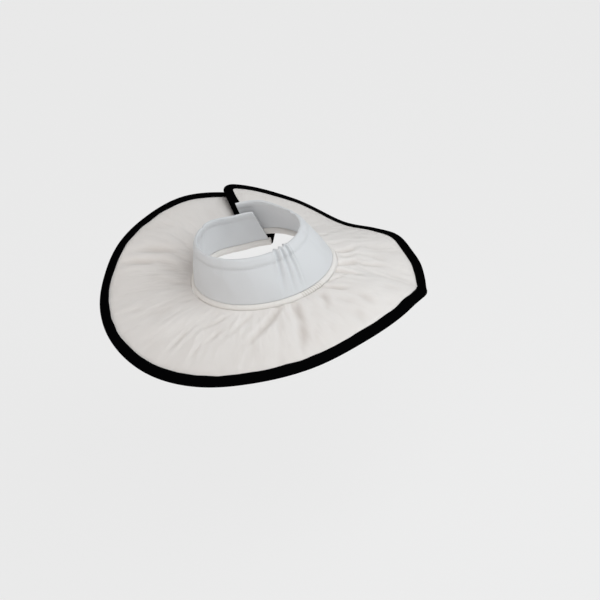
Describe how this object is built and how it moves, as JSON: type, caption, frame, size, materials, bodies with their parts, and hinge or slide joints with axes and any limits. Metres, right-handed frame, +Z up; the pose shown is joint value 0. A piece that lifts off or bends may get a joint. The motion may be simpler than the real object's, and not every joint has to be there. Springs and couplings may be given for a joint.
{
  "type": "elizabethan collar",
  "caption": "Soft padded recovery collar for a small dog: a drooping round ring with a bound edge, a corded neck seam, a soft neck cuff and a hook-and-loop closure.",
  "frame": {"origin": "centre of the circle of the neck seam, where the ring joins the cuff", "axes": "+Z up along the neck towards the head, -Y towards the wearer's chest, +Y towards the nape and the closure"},
  "size_m": [0.2877, 0.2957, 0.0883],
  "materials": {
    "cream_cover": "matt plain-weave cotton",
    "black_tape": "matt folded tape",
    "cream_piping": "matt cotton over cord",
    "white_cuff": "matt soft cotton",
    "hook_and_loop": "matt loop pile"
  },
  "bodies": {
    "root": {"pad": "cream_cover", "edge_binding": "black_tape", "neck_piping": "cream_piping", "neck_cuff": "white_cuff", "closure_patch": "hook_and_loop"}
  },
  "joints": []
}
